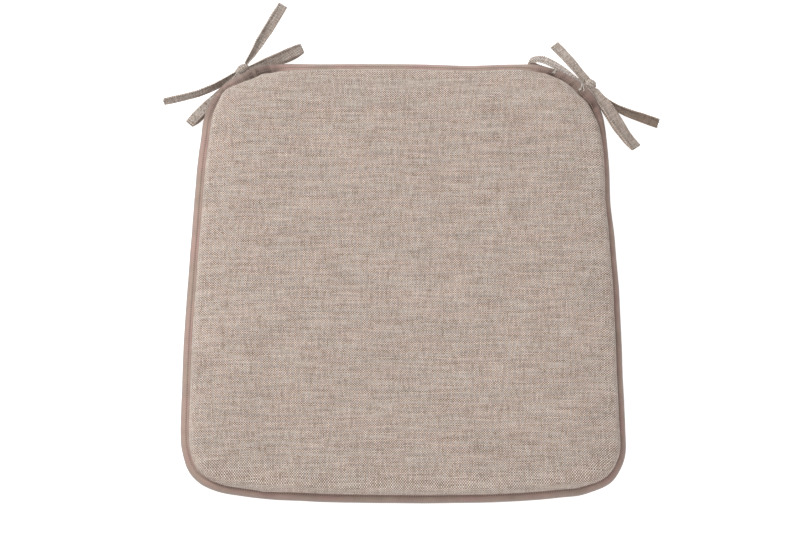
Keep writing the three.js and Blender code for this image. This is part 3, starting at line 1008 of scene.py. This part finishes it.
# Each strip of tape is a list of (x, y, z, width, roll in degrees). Roll tilts the tape about its
# length, and lifts its left edge. A loop runs out to its tip and back underneath.
STRIPS = {
    "left_tail_back": [
        (-0.1358, 0.2034, 0.0064, 0.003, 20), (-0.1312, 0.211, 0.0074, 0.0058, 38),
        (-0.1248, 0.2222, 0.008, 0.0088, 36), (-0.1176, 0.2344, 0.007, 0.0096, 34),
        (-0.1108, 0.247, 0.0052, 0.0092, 24), (-0.104, 0.2594, 0.0036, 0.0084, 12),
    ],
    "left_tail_side": [
        (-0.1422, 0.1948, 0.006, 0.0042, -16), (-0.1454, 0.1932, 0.0064, 0.0048, -30),
        (-0.1524, 0.1882, 0.0068, 0.0058, -40), (-0.1618, 0.1826, 0.007, 0.008, -60),
        (-0.1765, 0.1762, 0.0066, 0.0086, -68), (-0.1922, 0.1718, 0.0058, 0.008, -64),
        (-0.2066, 0.1688, 0.005, 0.0072, -56),
    ],
    "left_loop_back": [
        (-0.1335, 0.199, 0.0068, 0.0036, 14), (-0.125, 0.2013, 0.008, 0.0064, 24),
        (-0.113, 0.206, 0.0082, 0.0096, 42), (-0.1, 0.2118, 0.008, 0.0098, 34),
        (-0.0914, 0.216, 0.0068, 0.0092, 22), (-0.0872, 0.2184, 0.0048, 0.008, 14),
        (-0.0914, 0.2158, 0.003, 0.009, 12), (-0.1, 0.211, 0.0026, 0.009, 10),
        (-0.113, 0.2054, 0.0028, 0.0084, 10), (-0.125, 0.2011, 0.0036, 0.0058, 14),
        (-0.1335, 0.199, 0.0044, 0.0034, 14),
    ],
    "left_loop_side": [
        (-0.1433, 0.1932, 0.0056, 0.003, 0), (-0.151, 0.184, 0.0056, 0.0056, 0),
        (-0.16, 0.1736, 0.0058, 0.008, 0), (-0.17, 0.1634, 0.0064, 0.0084, 0),
        (-0.179, 0.1538, 0.0066, 0.0084, 0), (-0.1842, 0.1484, 0.0042, 0.0076, 0),
        (-0.1794, 0.1526, 0.0019, 0.0084, 0), (-0.17, 0.1626, 0.0017, 0.0084, 0),
        (-0.16, 0.1728, 0.0022, 0.008, 0), (-0.151, 0.1834, 0.0029, 0.0056, 0),
        (-0.1433, 0.1932, 0.0038, 0.003, 0),
    ],
    "right_tail_back": [
        (0.1605, 0.1858, 0.007, 0.0074, 4), (0.157, 0.19, 0.0078, 0.0072, 4),
        (0.1515, 0.1966, 0.0086, 0.008, 4), (0.1465, 0.203, 0.0088, 0.0086, 4),
        (0.139, 0.2123, 0.0076, 0.0088, 4), (0.1317, 0.2212, 0.0056, 0.0088, 4),
    ],
    "right_tail_side": [
        (0.1678, 0.1802, 0.003, 0.0034, 0), (0.174, 0.1722, 0.0034, 0.0052, 36),
        (0.1835, 0.1645, 0.0044, 0.008, 58), (0.196, 0.1582, 0.0048, 0.0092, 58),
        (0.209, 0.153, 0.005, 0.0092, 48), (0.221, 0.1484, 0.005, 0.0086, 36),
    ],
    "right_loop_back": [
        (0.156, 0.1846, 0.0056, 0.0036, 0), (0.1494, 0.1888, 0.0062, 0.0056, -10),
        (0.138, 0.1976, 0.0072, 0.0066, -16), (0.126, 0.2049, 0.0082, 0.0066, -16),
        (0.1176, 0.2072, 0.0082, 0.0064, -18), (0.1098, 0.2056, 0.0054, 0.0064, -14),
        (0.115, 0.2022, 0.003, 0.0062, -6), (0.126, 0.1984, 0.0023, 0.0064, -4),
        (0.138, 0.1932, 0.0024, 0.0064, 0), (0.1494, 0.1872, 0.003, 0.0052, 0),
        (0.156, 0.1846, 0.0039, 0.0034, 0),
    ],
    "right_loop_side": [
        (0.1575, 0.1852, 0.0076, 0.0032, 0), (0.1615, 0.1815, 0.008, 0.0044, 0),
        (0.1654, 0.178, 0.0082, 0.0054, 4), (0.1702, 0.171, 0.0088, 0.0082, 4),
        (0.1784, 0.1592, 0.0098, 0.0116, -20), (0.1857, 0.1474, 0.0096, 0.0118, -26),
        (0.1938, 0.135, 0.0084, 0.0096, -18), (0.2017, 0.1256, 0.0062, 0.0096, 0),
        (0.1936, 0.135, 0.0043, 0.0092, 0), (0.1852, 0.1474, 0.0048, 0.0104, 0),
        (0.1778, 0.159, 0.0058, 0.009, 0), (0.17, 0.1708, 0.0058, 0.0064, 0),
        (0.1652, 0.1784, 0.0054, 0.0042, 0), (0.1628, 0.1806, 0.0052, 0.0036, 0),
    ],
}

# The leads lie flat at one height, so their rows are (x, y, width)
LEAD_HEIGHT = 8.1 * MM
LEADS = {
    "left_lead_back": [(-0.1316, 0.1923, 0.006), (-0.1356, 0.1956, 0.0034)],
    "left_lead_side": [
        (-0.1537, 0.1765, 0.006), (-0.1476, 0.1852, 0.005), (-0.1417, 0.1938, 0.0034),
    ],
    "right_lead_back": [
        (0.1316, 0.1923, 0.006), (0.1444, 0.1892, 0.005), (0.1572, 0.1859, 0.0032),
    ],
    "right_lead_side": [(0.1537, 0.1765, 0.006), (0.1594, 0.1817, 0.0032)],
}

# How deeply each strip is folded lengthwise near its knot, as a share of its width
FOLDS = {
    "left_tail_back": 0.30,
    "left_tail_side": 0.12,
    "left_loop_back": 0.12,
    "right_tail_side": 0.18,
    "right_loop_side": 0.12,
}
FOLD_EVERYWHERE = 0.03
TAPE_ROUND = 0.6 * MM
LEAST_HALF = 0.4 * MM
TAPE_RIPPLE = 0.18 * MM
UP = np.array([0, 0, 1])
# The line of stitches along each tape, from -1 at one edge to 1 at the other
STITCH_LINE = 0.6
# The ties whose sewn edge lies on their right, seen from the knot
SEWN_ON_RIGHT = ("left_tail_side", "right_loop_side")
SECTION_ACROSS = (-1, -0.86, -0.7, -0.6, -0.5, -0.25, 0, 0.25, 0.5, 0.6, 0.7, 0.86, 1)
SECTION_TURN = np.radians([54, 18, -18, -54])
TIE_STITCH_PITCH = 2.3 * MM
# A stitch's places along the tape and its thread's radii there, in mm
TIE_STITCH_PLACES = (0, 0.35, 0.9, 1.25)
TIE_STITCH_RADII = (0.1, 0.25, 0.25, 0.1)


def curve_through(points, per_span=24):
    """Dense points of a centripetal Catmull-Rom curve, and each one's place from 0 to 1."""
    points = np.asarray(points, float)
    before_first, after_last = 2 * points[0] - points[1], 2 * points[-1] - points[-2]
    padded = np.concatenate([[before_first], points, [after_last]])
    t = (np.arange(per_span) / per_span)[:, None]
    made = []
    for i in range(len(points) - 1):
        a, b, c, d = padded[i : i + 4]
        before, span, beyond = (np.linalg.norm(q - p) ** 0.5 for p, q in ((a, b), (b, c), (c, d)))
        start = (b - a) / before - (c - a) / (before + span) + (c - b) / span
        end = (c - b) / span - (d - b) / (span + beyond) + (d - c) / beyond
        start, end = start * span, end * span
        cubic = 2 * b - 2 * c + start + end
        square = -3 * b + 3 * c - 2 * start - end
        made.append(b + start * t + square * t**2 + cubic * t**3)
    made.append(points[-1:])
    dense = np.concatenate(made)
    return dense, np.linspace(0, 1, len(dense))


def eased(values, places, knots):
    """Numbers given at knots, read smoothly between them."""
    found = np.interp(places, knots, values)
    window = np.hanning(15)
    wide = np.pad(found, 7, mode="edge")
    return np.convolve(wide, window / window.sum(), mode="valid")


class Tape:
    """A flat tape's centreline, with its width, side and face at each point."""

    def __init__(self, points, width, side, fold, seed, stitch_line=STITCH_LINE):
        self.points = points
        self.stitch_line = stitch_line
        self.width = width
        self.travelled = lengths_of(points)
        self.length = self.travelled[-1]
        self.tangent = unit(np.gradient(points, axis=0))
        self.side = side
        self.face = unit(np.cross(self.tangent, side))
        self.fold = fold
        self.seed = seed

    def wander(self, size, channel):
        """Smooth noise from about -1 to 1 along the tape."""
        return np.array([noise.noise((t / size, self.seed, channel)) for t in self.travelled])

    def half(self):
        """Half the width of its flat part, which wavers."""
        share = 0.5 + 0.03 * self.wander(0.009, 0.5)
        return np.maximum(self.width * share - TAPE_ROUND, LEAST_HALF)

    def at(self, across, above):
        """A line along the tape's skin: across from -1 to 1, and height over its middle."""
        cup = self.fold * self.width * (across**2 - 0.4)
        place = across * 1.3 + self.seed
        ripple = [noise.noise((t / 0.006, place, 7.5)) for t in self.travelled]
        height = above + cup + TAPE_RIPPLE * np.array(ripple)
        sideways = self.side * (across * self.half())[:, None]
        return self.points + sideways + self.face * height[:, None]


def strip_tape(name, rows, step=0.7 * MM):
    """The tape of a loop, a tail or a lead."""
    rows = np.array(rows, float)
    dense, places = curve_through(rows[:, :3])
    travelled = lengths_of(dense)
    even = np.linspace(0, travelled[-1], max(8, round(travelled[-1] / step)) + 1)
    points = read_along(even, travelled, dense)
    places = np.interp(even, travelled, places)
    knots = np.linspace(0, 1, len(rows))
    width = eased(rows[:, 3], places, knots)
    roll = np.radians(eased(rows[:, 4], places, knots))[:, None]
    heading = unit(np.gradient(points, axis=0))
    share = even / travelled[-1]
    if "loop" in name:
        heading = np.tile(rows[len(rows) // 2, :3] - rows[0, :3], (len(points), 1))
        share = 1 - np.abs(1 - 2 * share)
    heading = unit(heading * (1, 1, 0))
    side = np.cross(UP, heading)
    side = side * np.cos(roll) + np.cross(heading, side) * np.sin(roll)
    fold = FOLD_EVERYWHERE + FOLDS.get(name, FOLD_EVERYWHERE) * bell(share, 0.5)
    if "loop" in name:
        fold = fold * (1 - 1.7 * bell(share - 1, 0.1))
    seed = 0.37 * sum(map(ord, name)) % 50
    stitch_line = -STITCH_LINE if name in SEWN_ON_RIGHT else STITCH_LINE
    return Tape(points, width, side, fold, seed, stitch_line)


def tape_section():
    """A flat section with round edges, as (across, above, how far round the edge)."""
    over = [(x, 1.0, 0.0) for x in SECTION_ACROSS]
    right = [(1.0, math.sin(a), math.cos(a)) for a in SECTION_TURN]
    under = [(x, -1.0, 0.0) for x in SECTION_ACROSS[::-1]]
    left = [(-1.0, math.sin(a), -math.cos(a)) for a in SECTION_TURN[::-1]]
    return over + right + under + left


def tape_skin(tape):
    """Points, faces and cloth places of the tape, grooved along its line of stitches."""
    count = len(tape.points)
    thick = TIE_THICKNESS / 2 * (1 + 0.15 * tape.wander(0.014, 3.5))
    rings, cloth = [], []
    for across, above, bulge in tape_section():
        groove = 0.3 * MM * bell(across - tape.stitch_line, 0.1)
        line = tape.at(across, above * (thick - groove))
        rings.append(line + tape.side * (bulge * thick)[:, None])
        flat = across * tape.width.max() / 2 + tape.seed
        wear_and_painted_light = np.full(count, 1.6 * abs(bulge))
        cloth.append(np.stack([np.full(count, flat), tape.travelled, wear_and_painted_light], 1))
    points, cloth = np.stack(rings, 1).reshape(-1, 3), np.stack(cloth, 1).reshape(-1, 3)
    return points, capped_loft(count, len(rings)), cloth


def tape_stitches(tape):
    """Short stitches along the tape's sewn edge, on both faces."""
    made = []
    for face in (1, -1):
        line = tape.at(tape.stitch_line, face * (TIE_THICKNESS / 2 - 0.14 * MM))
        for start in np.arange(2.4 * MM, tape.length - 2 * MM, TIE_STITCH_PITCH):
            places = start + np.array(TIE_STITCH_PLACES) * MM
            path = read_along(places, tape.travelled, line)
            made.append(tube(path, np.array(TIE_STITCH_RADII) * MM, 5))
    return made


def cut_end(tape, luck, fibres=16, reach=1.5 * MM):
    """Loose fibres at a tail's cut end."""
    made = []
    side, face, tangent = tape.side[-1], tape.face[-1], tape.tangent[-1]
    for _ in range(fibres):
        start = tape.points[-1] + side * luck.uniform(-0.5, 0.5) * tape.width[-1]
        start = start + face * luck.uniform(-0.4, 0.4) * MM
        heading = tangent + side * luck.uniform(-0.7, 0.7) + face * luck.uniform(-0.5, 0.5)
        bend = side * luck.uniform(-0.5, 0.5) + face * luck.uniform(-0.4, 0.2)
        length = luck.uniform(0.4, 1.0) * reach
        t = np.linspace(-0.35, 1, 6)[:, None]
        path = start + heading * t * length + bend * (t.clip(0) ** 2) * length * 0.6
        made.append(tube(path, np.linspace(0.14, 0.06, 6) * MM, 5))
    return made


def tie_piece(name, tape, skin_parts, look="tie"):
    """A tie's mesh, with its stitches in a second material."""
    points, faces, cloth = joined(skin_parts + tape_stitches(tape))
    cloth_faces = sum(len(part[1]) for part in skin_parts)
    piece = mesh_piece(name, points, faces, look, cloth)
    piece.data.materials.append(LOOKS["tie_stitch"])
    which = [0] * cloth_faces + [1] * (len(faces) - cloth_faces)
    piece.data.polygons.foreach_set("material_index", which)
    return piece


# Strips drawn in a copy of the tie weave painted lighter or darker: painted light on the right
# loop's back, painted shade on the right loop's side and the right side tail
STRIP_LOOKS = {
    "right_loop_back": "tie_in_painted_light",
    "right_loop_side": "tie_in_painted_half_shade",
    "right_tail_side": "tie_in_painted_shade",
}


def add_strip(name, rows):
    """A loop or a tail, leaving its knot by the pad."""
    tape = strip_tape(name, rows)
    parts = [tape_skin(tape)]
    side, kind = name.split("_")[:2]
    if kind == "tail":
        parts.extend(cut_end(tape, random.Random(name)))
    piece = tie_piece("tie_" + name, tape, parts, STRIP_LOOKS.get(name, "tie"))
    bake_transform(piece)
    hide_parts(name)


def add_lead(name, rows):
    """The sewn start of a tie, from under the binding to the knot."""
    tape = strip_tape(name, [(x, y, LEAD_HEIGHT, width, 0) for x, y, width in rows])
    stands_for(tie_piece("sewn_" + name, tape, [tape_skin(tape)]), name)


# Each knot's angle and its radii along and across its length, in mm
KNOTS = {
    "left": {"angle": 27, "radii": (5.9, 3.8, 3.9)},
    "right": {"angle": -34, "radii": (4.9, 3.7, 4.0)},
}


def knot_core(middle, axis, across, radii, around=48, along=25):
    """The tape gathered inside the knot: a barrel with creases that run along it."""
    length, wide, tall = radii
    turn = np.linspace(0, 2 * math.pi, around, endpoint=False)
    rings, cloth = [], []
    for t in np.linspace(-1, 1, along):
        crease = 0.07 * np.sin(5 * turn + 2 * t) + 0.04 * np.sin(9 * turn - 3 * t)
        radius = 0.8 * (1 - 0.5 * abs(t) ** 2.6) + crease
        ring = middle + axis * t * length * 1.08
        ring = ring + across * (np.cos(turn) * wide * radius)[:, None]
        rings.append(ring + UP * (np.sin(turn) * tall * radius)[:, None])
        cloth.append(np.stack([turn * wide, np.full(around, t * length), 0 * turn], 1))
    return np.concatenate(rings), capped_loft(along, around), np.concatenate(cloth)


def knot_wrap(middle, axis, across, radii):
    """The tape that winds round the knot a little more than once, overlapping itself."""
    length, wide, tall = radii
    turn = np.radians(np.linspace(-120, 290, 110))
    grow = 0.93 + 0.12 * (turn - turn[0]) / (turn[-1] - turn[0])
    grow = grow - 0.3 * bell(turn - turn[0], 0.35) - 0.3 * bell(turn - turn[-1], 0.35)
    points = middle + axis * (0.16 * length * np.sin(turn + 0.6))[:, None]
    points = points + across * (np.cos(turn) * wide * grow)[:, None]
    points = points + UP * (np.sin(turn) * tall * grow)[:, None]
    width = length * (1.42 + 0.1 * np.sin(turn * 1.5))
    side = np.tile(axis, (len(points), 1))
    return Tape(points, width, side, np.full(len(points), -0.11), seed=length * 1e4)


def add_knot(side):
    low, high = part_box(side + "_knot")
    middle = np.array((low + high) / 2)
    angle = math.radians(KNOTS[side]["angle"])
    axis = np.array([math.cos(angle), math.sin(angle), 0])
    across = np.cross(UP, axis)
    radii = np.array(KNOTS[side]["radii"]) * MM
    wrap = knot_wrap(middle, axis, across, radii)
    parts = [knot_core(middle, axis, across, radii), tape_skin(wrap)]
    knot = joined_piece("wrapped_knot_" + side, parts, "tie")
    stands_for(knot, side + "_knot")


for bow_side in KNOTS:
    add_knot(bow_side)

for lead_name, lead_rows in LEADS.items():
    add_lead(lead_name, lead_rows)

for strip_name, strip_rows in STRIPS.items():
    add_strip(strip_name, strip_rows)


# ---- Bartacks

# Loose ends of the ivory thread over the binding at the right tacks, as x and y in mm
LOOSE_ENDS = {
    "right_tack_back": [[(133.5, 195.1), (132.2, 194.0), (131.0, 192.6), (129.4, 191.0)]],
    "right_tack_side": [
        [(155.2, 182.6), (155.0, 181.0), (154.7, 179.4), (154.3, 177.0)],
        [(155.2, 182.6), (155.6, 181.0), (156.2, 179.0), (157.0, 176.0), (156.4, 174.4)],
    ],
}
# The height of the skin that the loose ends lie on, over the flange, as inset and height in mm
THREAD_SKINS = [(0.0, 0.4), (1.0, 1.6), (2.5, 2.4), (5.0, 2.4), (7.2, 2.5), (8.5, 3.2), (12, 6)]
TACK_STITCHES = 6
TACK_PITCH = 0.28 * MM
TACK_REACH = 1.3 * MM
TACK_THREAD = 0.18 * MM
LOOSE_THREAD = 0.3 * MM


def tack_frame(name):
    """The tack's middle, and the directions outwards and along the edge there."""
    low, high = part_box(name)
    middle = np.array((low + high) / 2)
    place = int(np.argmin(np.hypot(*(drawn_points - middle[:2]).T)))
    normal = drawn_normals[place]
    outward = unit(np.array([*normal, -FLANGE_SLOPE]))
    return middle, outward, np.array([-normal[1], normal[0], 0])


def tape_top(points):
    """The height of the binding's upper skin over plan points."""
    sewn, normals = outline_at(np.linspace(0, PERIMETER, 3000, endpoint=False))
    apart = np.linalg.norm(points[:, None] - sewn[None], axis=2)
    place = apart.argmin(1)
    inset = apart.min(1) / tape_spread(sewn[place])
    skin = np.interp(inset, *(np.array(THREAD_SKINS).T * MM))
    lift = tape_lift(sewn[place], normals[place], 6 * MM)
    return flange_height(inset, sewn[place]) + skin + np.maximum(lift, 0)


def add_tack(name, look):
    """A short bartack across the binding: close stitches at the CAD tack's place."""
    middle, outward, along = tack_frame(name)
    up = np.cross(outward, along)
    up = up * np.sign(up[2])
    luck = random.Random(name)
    parts = []
    t = np.linspace(-1, 1, 7)[:, None]
    for i in range(TACK_STITCHES):
        start = middle + along * (i - (TACK_STITCHES - 1) / 2) * TACK_PITCH
        start = start + outward * luck.uniform(-0.15, 0.15) * MM
        path = start + outward * t * TACK_REACH + up * (0.1 - 0.6 * t**4) * MM
        parts.append(tube(path, np.full(len(t), TACK_THREAD)))
    for ends in LOOSE_ENDS.get(name, []):
        path, _ = curve_through(np.array([(x, y, 0) for x, y in ends]) * MM, 6)
        path[:, 2] = tape_top(path[:, :2]) + 0.5 * MM
        parts.append(tube(path, np.full(len(path), LOOSE_THREAD)))
    stands_for(joined_piece(name + "_stitches", parts, look), name)


for tack_place in ("back", "side"):
    add_tack("left_tack_" + tack_place, "tack")
    add_tack("right_tack_" + tack_place, "ivory")


# ---- Studio

def add_floor():
    """A wide floor a hair below the pad."""
    half, height = 8, -0.3 * MM
    points = [(x * half, y * half, height) for x, y in ((-1, -1), (1, -1), (1, 1), (-1, 1))]
    mesh_piece("floor", points, [(0, 1, 2, 3)], "floor")


def add_light(name, place, size, energy):
    """A soft round light that faces the pad."""
    data = bpy.data.lights.new(name, "AREA")
    data.shape = "DISK"
    data.size = size
    data.energy = energy
    aimed(name, data, place, place)


def add_world():
    """Even pale light from all round."""
    world = bpy.data.worlds.new("studio")
    world.use_nodes = True
    background = world.node_tree.nodes["Background"]
    background.inputs[0].default_value = (1, 1, 1, 1)
    background.inputs[1].default_value = 0.48
    scene.world = world
    scene.view_settings.view_transform = "Standard"


add_floor()
add_light("key", (-2.0, 1.95, 2.95), 1.5, 125)
add_light("fill", (0.9, -2.9, 2.3), 2.6, 30)
add_world()
